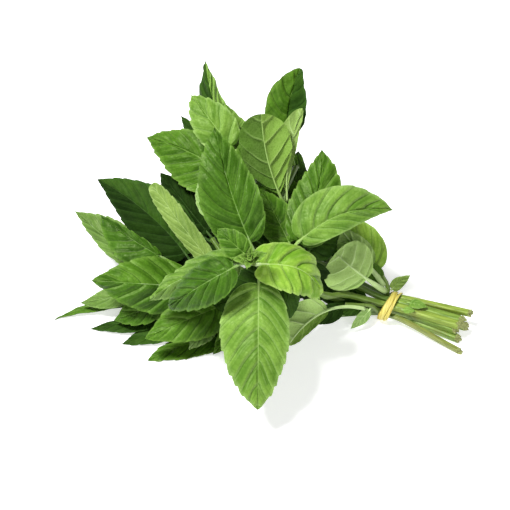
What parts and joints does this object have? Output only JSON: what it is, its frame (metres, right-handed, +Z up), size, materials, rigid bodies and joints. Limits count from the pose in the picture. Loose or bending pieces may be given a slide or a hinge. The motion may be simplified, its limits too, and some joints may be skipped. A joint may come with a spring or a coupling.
{
  "type": "tied bunch of mint",
  "caption": "Bunch of fresh mint lying down, leaves fanned out at one end, green stems held near their cut ends by a yellow rubber band.",
  "frame": {"origin": "centre of the bunch's outline, on the surface it lies on", "axes": "+X along the bunch from the leaf tips to the cut stem ends, +Y across it, away from the side whose leaves look at the viewer, +Z up"},
  "size_m": [0.2038, 0.1728, 0.0963],
  "materials": {
    "leaf": "satin",
    "young_leaf": "satin",
    "stem": "satin",
    "rubber": "matte"
  },
  "bodies": {
    "root": {"front_stem": "stem", "front_leaf_down": "leaf", "front_leaf_tall": "leaf", "front_leaf_right": "leaf", "front_leaf_left_long": "leaf", "front_leaf_left_low": "leaf", "front_leaf_small": "young_leaf", "front_bud": "young_leaf", "right_stem": "stem", "right_leaf_long": "leaf", "right_leaf_up": "leaf", "right_leaf_middle": "leaf", "right_leaf_under": "leaf", "up_stem": "stem", "up_leaf_underside": "leaf", "up_leaf_crown": "leaf", "up_leaf_sheath": "leaf", "up_leaf_shadow": "leaf", "up_leaf_back": "leaf", "back_stem": "stem", "back_leaf_light": "leaf", "back_leaf_spire": "leaf", "back_leaf_fin": "leaf", "back_leaf_outer": "leaf", "back_leaf_dark": "leaf", "back_leaf_floor": "leaf", "upper_left_stem": "stem", "left_leaf_strip": "leaf", "upper_left_leaf_shade": "leaf", "upper_left_leaf_deep": "leaf", "left_stem": "stem", "left_leaf_dark_upper": "leaf", "left_leaf_dark_inner": "leaf", "left_leaf_pale_edge": "leaf", "left_leaf_grey": "leaf", "left_leaf_broad": "leaf", "left_leaf_glossy": "leaf", "left_leaf_pale_tip": "leaf", "left_leaf_blunt": "leaf", "left_leaf_fore": "leaf", "low_stem": "stem", "low_leaf_floor": "leaf", "low_leaf_pale_under": "leaf", "low_leaf_dark_low": "leaf", "low_leaf_dark_tip": "leaf", "low_leaf_spear": "leaf", "near_stem": "stem", "near_leaf_pale_left": "leaf", "near_leaf_pale_up": "leaf", "near_leaf_green": "leaf", "near_leaf_sprout": "young_leaf", "hanging_stem": "stem", "hanging_leaf_folded": "leaf", "hanging_leaf_shade": "leaf", "hanging_leaf_drop": "leaf", "rubber_band": "rubber"}
  },
  "joints": []
}
